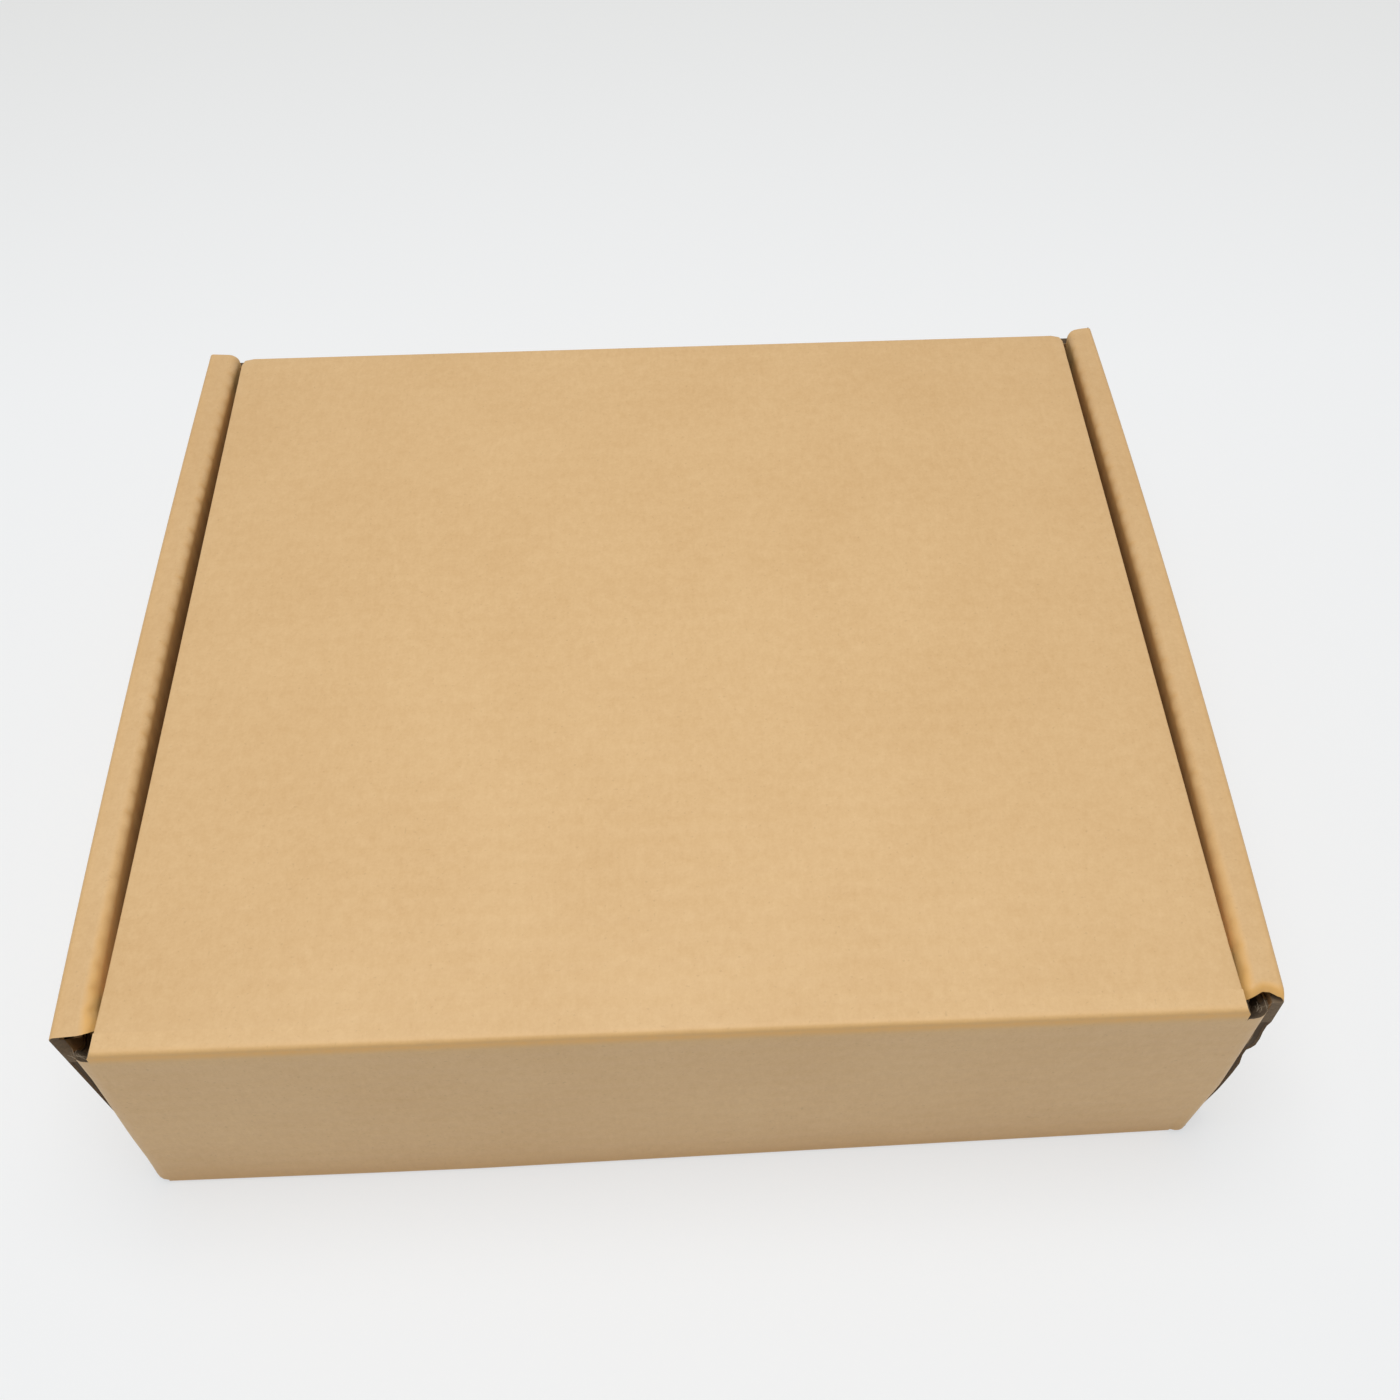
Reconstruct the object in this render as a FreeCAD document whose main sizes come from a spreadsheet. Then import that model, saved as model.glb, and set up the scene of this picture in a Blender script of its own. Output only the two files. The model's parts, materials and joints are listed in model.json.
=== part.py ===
import FreeCAD, Part
import Sketcher
import os

# A one-piece die-cut mailing box of single-wall corrugated board, folded up and closed.
# X runs along the hinge crease, Y from the hinge wall to the opening wall, Z up.
# The origin lies on the floor, under the middle of the box. All sizes are in millimetres
# or degrees.

SIZES = [
    ("board", 2.7, "thickness of the corrugated board"),
    ("fold_inside", 0.5, "inside radius of a right-angle fold"),
    ("wall_width", 282.0, "hinge and opening wall, measured over their end tabs"),
    ("depth", 248.5, "hinge wall to opening wall, outside"),
    ("height", 78.0, "floor to the top of the closed lid"),
    ("ply_gap", 0.25, "play on each side of an end tab inside the rolled wall"),
    ("lean", 0.7, "how far the side panels lean outward from floor to top"),
    ("bow", 1.6, "how far the rolled walls bow outward at mid length"),
    ("roll_near", 5.5, "hinge wall face to the near end of the rolled walls"),
    ("roll_far", 1.9, "opening wall face to the far end of the rolled walls"),
    ("opening_wall_drop", 1.7, "raw top edge of the opening wall below the lid top"),
    ("tab_reach", 58.0, "length of the end tabs along the side walls"),
    ("tab_lift", 0.4, "play under the end tabs and the inner side panels"),
    ("lock_width", 42.0, "width of a locking tongue of the inner side panel"),
    ("lock_spacing", 124.0, "distance between the two tongues of a side"),
    ("lock_play", 0.6, "play round a tongue in its slot"),
    ("lock_tip", 0.3, "height of the tongue tips above the floor"),
    ("lid_side_gap", 1.3, "gap from the lid to the rolled wall at its ends"),
    ("hinge_gap", 0.3, "clearance between the crease bead and the hinge wall"),
    ("flap_play", 0.8, "gap from the tuck flap fold to the opening wall"),
    ("flap_reach", 40.0, "length of the tuck flap"),
    ("flap_tilt", 6.0, "lean of the tuck flap towards the inside"),
    ("flap_inset", 3.5, "tuck flap narrower than the lid, each end"),
    ("flap_corner", 14.0, "corner cut of the tuck flap"),
    ("ear_reach", 42.0, "length of the side ears of the lid"),
    ("ear_tilt", 4.0, "lean of the ears towards the inside"),
    ("ear_near", 12.0, "hinge line to the near end of an ear"),
    ("ear_far", 12.0, "tuck flap fold to the far end of an ear"),
    ("ear_corner", 16.0, "corner cut of the ears"),
]

doc = FreeCAD.newDocument("mailing_box")
sheet = doc.addObject("Spreadsheet::Sheet", "Sizes")
for row, (alias, value, note) in enumerate(SIZES, start=1):
    sheet.set(f"A{row}", alias)
    sheet.set(f"B{row}", str(value))
    sheet.set(f"C{row}", note)
    sheet.setAlias(f"B{row}", alias)
doc.recompute()

# Places worked out from the driving sizes, as expressions that the sketches are bound to.
BOARD = "Sizes.board"
TOP = "Sizes.height"
FOLD = "(Sizes.board + Sizes.fold_inside)"
INNER_FOLD = "Sizes.fold_inside"
NEAR_FACE = "(-Sizes.depth / 2)"
FAR_FACE = "(Sizes.depth / 2)"
TAB_FACE = "(Sizes.wall_width / 2)"
TAB_FLOOR = "(Sizes.board + Sizes.tab_lift)"
HINGE_Y = f"({NEAR_FACE} + {BOARD})"
HINGE_Z = f"({TOP} - {BOARD})"
HINGE_WALL_TOP = f"({HINGE_Z} - {BOARD} - Sizes.hinge_gap)"
OPENING_WALL_TOP = f"({TOP} - Sizes.opening_wall_drop)"

# The rolled wall: outer panel, top strip and inner panel round the end tabs.
PANEL_FOOT = f"({TAB_FACE} + Sizes.ply_gap + {BOARD})"
PANEL_TOP = f"({PANEL_FOOT} + Sizes.lean)"
ROLL_WIDTH = f"(3 * {BOARD} + 2 * Sizes.ply_gap + Sizes.lean)"
ROLL_INSIDE = f"({PANEL_TOP} - {ROLL_WIDTH})"
ROLL_LENGTH = "(Sizes.depth - Sizes.roll_near - Sizes.roll_far)"
ROLL_MIDDLE = "((Sizes.roll_near - Sizes.roll_far) / 2)"
BOW_RADIUS = f"({ROLL_LENGTH} ^ 2 / (8 * Sizes.bow) + Sizes.bow / 2)"
BASE_SIDE = f"({PANEL_FOOT} - {FOLD} - Sizes.ply_gap)"

# How far joined features run into each other, and cutting outlines past the board.
LAP = "1"

# The lid.
LID_SIDE = f"({ROLL_INSIDE} - Sizes.lid_side_gap)"
FLAP_FACE = f"({FAR_FACE} - {BOARD} - Sizes.flap_play)"
FLAP_SIDE = f"({LID_SIDE} - Sizes.flap_inset)"
EAR_START = f"({HINGE_Y} + Sizes.ear_near)"
EAR_END = f"({FLAP_FACE} - Sizes.ear_far)"
FLAP_SINE = "sin(Sizes.flap_tilt * 1 deg)"
FLAP_COSINE = "cos(Sizes.flap_tilt * 1 deg)"
EAR_SINE = "sin(Sizes.ear_tilt * 1 deg)"
EAR_COSINE = "cos(Sizes.ear_tilt * 1 deg)"
FLAP_TIP = f"({TOP} - {FOLD} - {FOLD} * {FLAP_SINE} - Sizes.flap_reach * {FLAP_COSINE})"
EAR_TIP = f"({TOP} - {FOLD} - {FOLD} * {EAR_SINE} - Sizes.ear_reach * {EAR_COSINE})"


def value(expression):
    """The present value of an expression on the sheet."""
    return float(sheet.evalExpression(expression))


def new_sketch(body, name, role, lift=None):
    """A sketch on one of the body's origin planes, lifted along its normal."""
    sketch = body.newObject("Sketcher::SketchObject", name)
    plane = [p for p in body.Origin.OriginFeatures if p.Role == role][0]
    sketch.AttachmentSupport = [(plane, "")]
    sketch.MapMode = "FlatFace"
    if lift:
        sketch.setExpression("AttachmentOffset.Base.z", lift)
    return sketch


def pin(sketch, geometry, end, place):
    """Bind a point of the sketch to its two expressions."""
    for kind, expression in (("DistanceX", place[0]), ("DistanceY", place[1])):
        index = sketch.addConstraint(
            Sketcher.Constraint(kind, -1, 1, geometry, end, value(expression)))
        sketch.setExpression(f"Constraints[{index}]", expression)


def draw(sketch, corners):
    """Draw one closed outline. A corner is (x, y), or (x, y, radius, turn) where the edge
    that leaves it is an arc of that radius: turn is 1 counter-clockwise, -1 clockwise."""
    first = sketch.GeometryCount
    count = len(corners)
    spots = [FreeCAD.Vector(value(c[0]), value(c[1]), 0) for c in corners]
    for i, corner in enumerate(corners):
        start = spots[i]
        finish = spots[(i + 1) % count]
        if len(corner) == 2:
            sketch.addGeometry(Part.LineSegment(start, finish))
            continue
        radius = value(corner[2])
        turn = corner[3]
        chord = finish - start
        side = FreeCAD.Vector(-chord.y, chord.x, 0).normalize() * turn
        reach = max(radius ** 2 - chord.Length ** 2 / 4, 0) ** 0.5
        centre = (start + finish) / 2 + side * reach
        middle = centre - side * radius
        arc = Part.Arc(start, middle, finish)
        sketch.addGeometry(arc)
    for i, corner in enumerate(corners):
        here = first + i
        following = first + (i + 1) % count
        is_arc = len(corner) == 4
        next_is_arc = len(corners[(i + 1) % count]) == 4
        # An arc always runs counter-clockwise, so a clockwise one is drawn end first.
        start_end = 2 if is_arc and corner[3] < 0 else 1
        stop_end = 3 - start_end
        next_start = 2 if next_is_arc and corners[(i + 1) % count][3] < 0 else 1
        sketch.addConstraint(
            Sketcher.Constraint("Coincident", here, stop_end, following, next_start))
        pin(sketch, here, start_end, corner[:2])
        if is_arc:
            index = sketch.addConstraint(
                Sketcher.Constraint("Radius", here, value(corner[2])))
            sketch.setExpression(f"Constraints[{index}]", corner[2])


def rectangle(left, low, right, high):
    return [(left, low), (right, low), (right, high), (left, high)]


def mirrored(corners):
    """The same outline on the other side of the sketch's vertical axis, drawn in the
    opposite order, so that an arc keeps its turn but leaves the corner it used to reach."""
    count = len(corners)
    flipped = []
    for i in range(count):
        corner = corners[-i % count]
        arc = tuple(corners[(-i - 1) % count][2:])
        flipped.append((f"(-1 * {corner[0]})", corner[1]) + arc)
    return flipped


def pad(body, name, sketch, length, both_ways=False):
    feature = body.newObject("PartDesign::Pad", name)
    feature.Profile = sketch
    feature.Midplane = both_ways
    feature.setExpression("Length", length)
    doc.recompute()
    return feature


def pocket(body, name, sketch, length, both_ways=False, backwards=False):
    before = body.Shape.Volume
    feature = body.newObject("PartDesign::Pocket", name)
    feature.Profile = sketch
    feature.Midplane = both_ways
    feature.Reversed = backwards
    feature.setExpression("Length", length)
    doc.recompute()
    if body.Shape.Volume > before - 1:
        raise RuntimeError(f"{name} cuts nothing")
    return feature


def new_body(name):
    body = doc.addObject("PartDesign::Body", name)
    body.Label = name
    body.AllowCompound = True
    doc.recompute()
    return body


# The tray: base, hinge wall, opening wall and two rolled side walls, one folded sheet.
tray = new_body("tray")


def side_wall(side, name):
    """A rolled side wall, turned about a far upright axis so that it bows outward."""
    foot = f"({PANEL_FOOT} + Sizes.bow)"
    top = f"({PANEL_TOP} + Sizes.bow)"
    inside = f"({ROLL_INSIDE} + Sizes.bow)"
    toe = f"({BASE_SIDE} - Sizes.ply_gap)"
    shoulder = f"({TOP} - {FOLD})"
    under = f"({TOP} - {BOARD})"
    corners = [
        (toe, "0"),
        (f"({foot} - {FOLD})", "0", FOLD, 1),
        (foot, FOLD),
        (top, shoulder, FOLD, 1),
        (f"({top} - {FOLD})", TOP),
        (f"({inside} + {FOLD})", TOP, FOLD, 1),
        (inside, shoulder),
        (inside, "Sizes.lock_tip"),
        (f"({inside} + {BOARD})", "Sizes.lock_tip"),
        (f"({inside} + {BOARD})", shoulder, INNER_FOLD, -1),
        (f"({inside} + {FOLD})", under),
        (f"({top} - {FOLD})", under, INNER_FOLD, -1),
        (f"({top} - {BOARD})", shoulder),
        (f"({foot} - {BOARD})", FOLD, INNER_FOLD, -1),
        (f"({foot} - {FOLD})", BOARD),
        (toe, BOARD),
    ]
    sketch = new_sketch(tray, f"{name}_section", "XZ_Plane", f"(-1 * {ROLL_MIDDLE})")
    draw(sketch, corners if side > 0 else mirrored(corners))
    axis_x = f"({side} * ({PANEL_TOP} + Sizes.bow - {BOW_RADIUS}))"
    place = value(axis_x)
    line = sketch.addGeometry(
        Part.LineSegment(FreeCAD.Vector(place, 0, 0), FreeCAD.Vector(place, 10, 0)), True)
    pin(sketch, line, 1, (axis_x, "0"))
    pin(sketch, line, 2, (axis_x, "10"))
    feature = tray.newObject("PartDesign::Revolution", name)
    feature.Profile = sketch
    feature.ReferenceAxis = (sketch, ["Axis0"])
    feature.Midplane = True
    feature.setExpression("Angle", f"2 * asin({ROLL_LENGTH} / 2 / {BOW_RADIUS})")
    doc.recompute()


side_wall(1, "right_side_wall")
side_wall(-1, "left_side_wall")

# Between the locking tongues the inner panels end just above the base.
LOCK_NEAR = f"({ROLL_MIDDLE} - Sizes.lock_spacing / 2)"
LOCK_FAR = f"({ROLL_MIDDLE} + Sizes.lock_spacing / 2)"
HALF_LOCK = "(Sizes.lock_width / 2)"
strip = (f"({ROLL_INSIDE} - {LAP})", BASE_SIDE)
stretches = [
    (NEAR_FACE, f"({LOCK_NEAR} - {HALF_LOCK})"),
    (f"({LOCK_NEAR} + {HALF_LOCK})", f"({LOCK_FAR} - {HALF_LOCK})"),
    (f"({LOCK_FAR} + {HALF_LOCK})", FAR_FACE),
]
trim = new_sketch(tray, "inner_panel_trim", "XY_Plane")
for start, stop in stretches:
    outline = rectangle(strip[0], start, strip[1], stop)
    draw(trim, outline)
    draw(trim, mirrored(outline))
pocket(tray, "tongue_trim", trim, TAB_FLOOR, backwards=True)

# The base, with a slot for each tongue.
base_plan = new_sketch(tray, "base_plan", "XY_Plane")
draw(base_plan, rectangle(
    f"(-1 * {BASE_SIDE})", f"({NEAR_FACE} + {FOLD})", BASE_SIDE, f"({FAR_FACE} - {FOLD})"))
slot_bow = f"(Sizes.bow * (1 - (Sizes.lock_spacing / {ROLL_LENGTH}) ^ 2))"
for middle in (LOCK_NEAR, LOCK_FAR):
    slot = rectangle(
        f"({ROLL_INSIDE} + {slot_bow} - Sizes.lock_play)",
        f"({middle} - {HALF_LOCK} - Sizes.lock_play)",
        f"({ROLL_INSIDE} + {slot_bow} + {BOARD} + Sizes.lock_play)",
        f"({middle} + {HALF_LOCK} + Sizes.lock_play)")
    draw(base_plan, slot)
    draw(base_plan, mirrored(slot))
pad(tray, "base_panel", base_plan, BOARD)


def end_wall(face, inward, top):
    """Section of an upright wall with the fold that joins it to the base."""
    turn = int(inward)
    return [
        (f"({face} + {inward} * ({FOLD} + {LAP}))", "0"),
        (f"({face} + {inward} * {FOLD})", "0", FOLD, -turn),
        (face, FOLD),
        (face, top),
        (f"({face} + {inward} * {BOARD})", top),
        (f"({face} + {inward} * {BOARD})", FOLD, INNER_FOLD, turn),
        (f"({face} + {inward} * {FOLD})", BOARD),
        (f"({face} + {inward} * ({FOLD} + {LAP}))", BOARD),
    ]


walls = new_sketch(tray, "end_wall_sections", "YZ_Plane")
draw(walls, end_wall(NEAR_FACE, "1", HINGE_WALL_TOP))
draw(walls, end_wall(FAR_FACE, "-1", OPENING_WALL_TOP))
pad(tray, "end_walls", walls, f"(2 * ({TAB_FACE} - {FOLD}))", both_ways=True)


def end_tab(face, inward):
    """Plan of an end tab: the fold at the wall's end, then the tab in the rolled wall.
    The tab follows the bow of the rolled wall that holds it."""
    turn = int(inward)
    past_roll = "Sizes.roll_near" if turn > 0 else "Sizes.roll_far"
    along = f"(1 - 2 * (Sizes.tab_reach - {past_roll}) / {ROLL_LENGTH})"
    spread = f"(Sizes.bow * (1 - {along} ^ 2))"
    stop = f"({face} + {inward} * Sizes.tab_reach)"
    return [
        (f"({TAB_FACE} - {FOLD} - {LAP})", face),
        (f"({TAB_FACE} - {FOLD})", face, FOLD, turn),
        (TAB_FACE, f"({face} + {inward} * {FOLD})"),
        (f"({TAB_FACE} + {spread})", stop),
        (f"({TAB_FACE} + {spread} - {BOARD})", stop),
        (f"({TAB_FACE} - {BOARD})", f"({face} + {inward} * {FOLD})", INNER_FOLD, -turn),
        (f"({TAB_FACE} - {FOLD})", f"({face} + {inward} * {BOARD})"),
        (f"({TAB_FACE} - {FOLD} - {LAP})", f"({face} + {inward} * {BOARD})"),
    ]


tabs = new_sketch(tray, "end_tab_plans", "XY_Plane", FOLD)
for face, inward in ((NEAR_FACE, "1"), (FAR_FACE, "-1")):
    draw(tabs, end_tab(face, inward))
    draw(tabs, mirrored(end_tab(face, inward)))
pad(tray, "end_tabs", tabs, f"({HINGE_WALL_TOP} - {FOLD})")

# The lid: top panel with its crease bead, two side ears and the tuck flap.
lid = new_body("lid")

lid_plan = new_sketch(lid, "lid_plan", "XY_Plane", HINGE_Z)
flap_line = f"({FLAP_FACE} - {FOLD})"
ear_line = f"({LID_SIDE} - {FOLD})"
half_plan = [
    (LID_SIDE, HINGE_Y),
    (LID_SIDE, EAR_START),
    (ear_line, EAR_START),
    (ear_line, EAR_END),
    (LID_SIDE, EAR_END),
    (LID_SIDE, flap_line),
]
draw(lid_plan, half_plan + [(f"(-1 * {x})", y) for x, y in reversed(half_plan)])
pad(lid, "top_panel", lid_plan, BOARD)

bead = new_sketch(lid, "crease_section", "YZ_Plane")
ring = bead.addGeometry(
    Part.Circle(FreeCAD.Vector(value(HINGE_Y), value(HINGE_Z), 0),
                FreeCAD.Vector(0, 0, 1), value(BOARD)))
pin(bead, ring, 3, (HINGE_Y, HINGE_Z))
bead.setExpression(
    f"Constraints[{bead.addConstraint(Sketcher.Constraint('Radius', ring, value(BOARD)))}]",
    BOARD)
pad(lid, "crease_bead", bead, f"(2 * {LID_SIDE})", both_ways=True)


def hanging_flap(line, sine, cosine, reach):
    """Section of a flap that folds down from the lid and leans towards the inside."""
    drop = f"({TOP} - {FOLD})"
    return [
        (f"({line} - {LAP})", HINGE_Z),
        (line, HINGE_Z, INNER_FOLD, -1),
        (f"({line} + {INNER_FOLD} * {cosine})", f"({drop} - {INNER_FOLD} * {sine})"),
        (f"({line} + {INNER_FOLD} * {cosine} - {reach} * {sine})",
         f"({drop} - {INNER_FOLD} * {sine} - {reach} * {cosine})"),
        (f"({line} + {FOLD} * {cosine} - {reach} * {sine})",
         f"({drop} - {FOLD} * {sine} - {reach} * {cosine})"),
        (f"({line} + {FOLD} * {cosine})", f"({drop} - {FOLD} * {sine})", FOLD, 1),
        (line, TOP),
        (f"({line} - {LAP})", TOP),
    ]


flap_section = new_sketch(lid, "tuck_flap_section", "YZ_Plane")
draw(flap_section, hanging_flap(flap_line, FLAP_SINE, FLAP_COSINE, "Sizes.flap_reach"))
pad(lid, "tuck_flap", flap_section, f"(2 * {FLAP_SIDE})", both_ways=True)

ear_section = new_sketch(
    lid, "ear_section", "XZ_Plane", f"(-1 * ({EAR_START} + {EAR_END}) / 2)")
ear = hanging_flap(ear_line, EAR_SINE, EAR_COSINE, "Sizes.ear_reach")
draw(ear_section, ear)
draw(ear_section, mirrored(ear))
pad(lid, "side_ears", ear_section, f"({EAR_END} - {EAR_START})", both_ways=True)

# Corner cuts: the ears seen from the side, the tuck flap seen from the front.
ear_cuts = new_sketch(lid, "ear_corner_cuts", "YZ_Plane")
ear_low = f"({EAR_TIP} - {LAP})"
for end, inward in ((EAR_START, "1"), (EAR_END, "-1")):
    outer = f"({end} - {inward} * {LAP})"
    draw(ear_cuts, [
        (outer, ear_low),
        (f"({end} + {inward} * Sizes.ear_corner / 2)", ear_low),
        (outer, f"({EAR_TIP} + 2 * Sizes.ear_corner)"),
    ])
pocket(lid, "ear_corners", ear_cuts, f"(2 * {LID_SIDE} + 2 * {LAP})", both_ways=True)

flap_cuts = new_sketch(lid, "flap_corner_cuts", "XZ_Plane", f"(-1 * {FLAP_FACE} - {LAP})")
flap_low = f"({FLAP_TIP} - {LAP})"
flap_cut = [
    (f"({FLAP_SIDE} + {LAP})", flap_low),
    (f"({FLAP_SIDE} + {LAP})", f"({FLAP_TIP} + 2 * Sizes.flap_corner)"),
    (f"({FLAP_SIDE} - Sizes.flap_corner / 2)", flap_low),
]
draw(flap_cuts, flap_cut)
draw(flap_cuts, mirrored(flap_cut))
pocket(lid, "flap_corners", flap_cuts, "Sizes.ear_far", backwards=True)

doc.recompute()

for item in doc.Objects:
    if "Invalid" in item.State or "Error" in item.State:
        raise RuntimeError(f"{item.Name} failed: {item.State}")

os.makedirs("parts", exist_ok=True)
for body in (tray, lid):
    shape = body.Shape
    if shape.isNull() or not shape.isValid() or len(shape.Solids) != 1:
        raise RuntimeError(f"{body.Label} isn't one sound solid: {len(shape.Solids)}")
for body in (tray, lid):
    body.Shape.exportStep(f"parts/{body.Label}.step")
    box = body.Shape.BoundBox
    print(body.Label, "volume", round(body.Shape.Volume), "box",
          [round(v, 2) for v in (box.XMin, box.XMax, box.YMin, box.YMax, box.ZMin, box.ZMax)])
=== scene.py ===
import json
import math
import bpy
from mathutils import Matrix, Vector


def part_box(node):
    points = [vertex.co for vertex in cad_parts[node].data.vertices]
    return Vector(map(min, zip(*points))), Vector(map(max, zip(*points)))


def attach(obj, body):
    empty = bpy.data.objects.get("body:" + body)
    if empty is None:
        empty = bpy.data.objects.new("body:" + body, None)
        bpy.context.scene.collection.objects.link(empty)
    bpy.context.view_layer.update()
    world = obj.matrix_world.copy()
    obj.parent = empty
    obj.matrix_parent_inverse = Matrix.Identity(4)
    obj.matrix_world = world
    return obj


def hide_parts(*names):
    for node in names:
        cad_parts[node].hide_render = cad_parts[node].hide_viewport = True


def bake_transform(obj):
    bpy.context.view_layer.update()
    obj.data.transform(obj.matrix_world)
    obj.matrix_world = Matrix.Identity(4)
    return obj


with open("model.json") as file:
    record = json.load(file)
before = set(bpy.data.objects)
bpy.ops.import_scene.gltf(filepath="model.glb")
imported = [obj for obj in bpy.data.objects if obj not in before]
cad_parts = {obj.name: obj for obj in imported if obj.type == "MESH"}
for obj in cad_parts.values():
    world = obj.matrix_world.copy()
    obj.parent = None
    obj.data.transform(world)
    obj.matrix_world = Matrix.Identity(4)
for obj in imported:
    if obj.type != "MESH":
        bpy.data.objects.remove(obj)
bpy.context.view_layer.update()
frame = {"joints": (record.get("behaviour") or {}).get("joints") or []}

from types import SimpleNamespace

import bmesh
import bpy
import numpy as np
from mathutils import Matrix, Vector

# Sizes of the board and of the folded box, in metres
mm = 0.001
quarter = math.pi / 2
tray_low, tray_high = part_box("tray")
lid_low, lid_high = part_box("lid")
hinge = Vector(frame["joints"][0]["pos_m"])
top = tray_high.z
board = lid_high.z - hinge.z
liner = 0.35 * mm
flute_pitch = 6.3 * mm
flute_height = 0.36
flutes = 80
hair = 0.01 * mm
speck = 0.001 * mm
sharp_fold = math.radians(60)

foot_radius = 3.2 * mm
near_foot_radius = 2.0 * mm
roll_edge_radius = 1.2 * mm
roll_inner_radius = 2.7 * mm
tab_radius = 4.2 * mm

bow = 1.6 * mm
lean = 0.7 * mm
foot_half = tray_high.x - bow - lean
roll_width = 8.6 * mm
foot_widths = {-1: (141.9 * mm, 145.5 * mm, 143.6 * mm), 1: (143.8 * mm, 145.5 * mm, 143.6 * mm)}
roll_near = tray_low.y + 5.5 * mm
roll_far = tray_high.y - 1.9 * mm
tab_face = 141.0 * mm
tab_reach = 58.0 * mm
hinge_wall_top = hinge.z - 3.0 * mm
opening_wall_top = top - 4.0 * mm
inner_panel_foot = board + 0.3 * mm

slot_inside = foot_half - roll_width - 0.3 * mm
slot_outside = slot_inside + board + 0.6 * mm
lock_middle = 0.5 * (roll_near + roll_far)
lock_spacing = 124.0 * mm
lock_width = 42.0 * mm
lock_reach = 2.4 * mm

# How the real box stands, as read off its edges
crease_inset = 0.15 * mm
lid_half = 133.85 * mm
lid_flare = 0.4 * mm
lid_far_left = hinge.y + 242.9 * mm
lid_far_right = hinge.y + 240.9 * mm
crease_stub = 3.0 * mm
crease_radius = 1.1 * mm
crease_spread = 1.0 * mm
crease_wander = 0.06 * mm
crease_waves = ((190, 0, 0.6), (71, 1, 1.0), (430, 2, 0.3))
foot_askew = 0.0163
foot_inset = 0.98 * mm


# Tools for selecting and shaping

def deselect_all():
    bpy.ops.object.select_all(action="DESELECT")


def start_editing(piece):
    deselect_all()
    piece.select_set(True)
    bpy.context.view_layer.objects.active = piece
    bpy.ops.object.mode_set(mode="EDIT")
    bpy.ops.mesh.select_mode(type="FACE")
    bpy.ops.mesh.select_all(action="DESELECT")


def stop_editing():
    bpy.ops.object.mode_set(mode="OBJECT")


def select_faces(piece, wanted):
    mesh = bmesh.from_edit_mesh(piece.data)
    for face in mesh.faces:
        face.select_set(bool(wanted(face)))
    bmesh.update_edit_mesh(piece.data)


def select_edges(piece, wanted):
    bpy.ops.mesh.select_mode(type="EDGE")
    mesh = bmesh.from_edit_mesh(piece.data)
    for edge in mesh.edges:
        edge.select_set(bool(wanted(edge)))
    bmesh.update_edit_mesh(piece.data)


def apply_modifier(piece, modifier):
    deselect_all()
    piece.select_set(True)
    bpy.context.view_layer.objects.active = piece
    bpy.ops.object.modifier_apply(modifier=modifier.name)


def read_points(piece):
    places = np.zeros(len(piece.data.vertices) * 3)
    piece.data.vertices.foreach_get("co", places)
    return places.reshape(-1, 3)


def write_points(piece, places):
    piece.data.vertices.foreach_set("co", places.ravel())
    piece.data.update()


def mark(piece, name, kind, values):
    """Keeps a value for each point of the sheet, which the finish reads."""
    attribute = piece.data.attributes.new(name, kind, "POINT")
    key = "vector" if kind == "FLOAT_VECTOR" else "value"
    attribute.data.foreach_set(key, np.asarray(values, np.float32).ravel())


# The board: cut flat, folded, then given its thickness

def spread(start, end, steps):
    return [start + (end - start) * step / steps for step in range(1, steps + 1)]


def tidy_lines(edges, others):
    """Keeps the lines that are edges of panels, and those of the others that lie clear of them."""
    kept = []
    for lines, nearest in ((edges, 0.02 * mm), (others, 0.45 * mm)):
        for line in lines:
            if all(abs(line - other) > nearest for other in kept):
                kept.append(line)
    return sorted(kept)


def cut_blank(name, across_lines, along_lines, panels):
    """Lays out a flat blank on its lines, and cuts away all that lies outside its panels."""
    deselect_all()
    bpy.ops.mesh.primitive_grid_add(
        x_subdivisions=len(across_lines) - 1, y_subdivisions=len(along_lines) - 1, size=2)
    piece = bpy.context.object
    piece.name = name
    places = read_points(piece)
    places[:, 0] = np.interp(places[:, 0], np.linspace(-1, 1, len(across_lines)), across_lines)
    places[:, 1] = np.interp(places[:, 1], np.linspace(-1, 1, len(along_lines)), along_lines)
    write_points(piece, places)
    start_editing(piece)

    def outside(face):
        middle = face.calc_center_median()
        for left, right, near, far in panels:
            if left < middle.x < right and near < middle.y < far:
                return False
        return True

    select_faces(piece, outside)
    bpy.ops.mesh.delete(type="FACE")
    stop_editing()
    mark(piece, "sheet", "FLOAT_VECTOR", read_points(piece))
    return piece


def sheet_places(piece):
    """How far across and along the sheet each point lies, while it is still flat."""
    flat = read_points(piece)
    return flat[:, 0], flat[:, 1]


def laid(distance, runs):
    """Where a sheet is at a distance along its runs: how far across, and how far up.
    A run is a length and the angle by which the sheet turns up over it."""
    across = np.zeros_like(distance)
    up = np.zeros_like(distance)
    place_across, place_up, heading, start = 0.0, 0.0, 0.0, 0.0
    for number, (length, turn) in enumerate(runs):
        last = number == len(runs) - 1
        here = (distance >= start) & ((distance <= start + length) | last)
        into = distance[here] - start
        if turn and length:
            radius = length / turn
            angle = heading + into / radius
            across[here] = place_across + radius * (np.sin(angle) - math.sin(heading))
            up[here] = place_up - radius * (np.cos(angle) - math.cos(heading))
            place_across += radius * (math.sin(heading + turn) - math.sin(heading))
            place_up -= radius * (math.cos(heading + turn) - math.cos(heading))
        else:
            across[here] = place_across + into * math.cos(heading)
            up[here] = place_up + into * math.sin(heading)
            place_across += length * math.cos(heading)
            place_up += length * math.sin(heading)
        heading += turn
        start += length
    return across, up


def run_ends(runs):
    """The distance at which each run ends."""
    return list(np.cumsum([length for length, turn in runs]))


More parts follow.
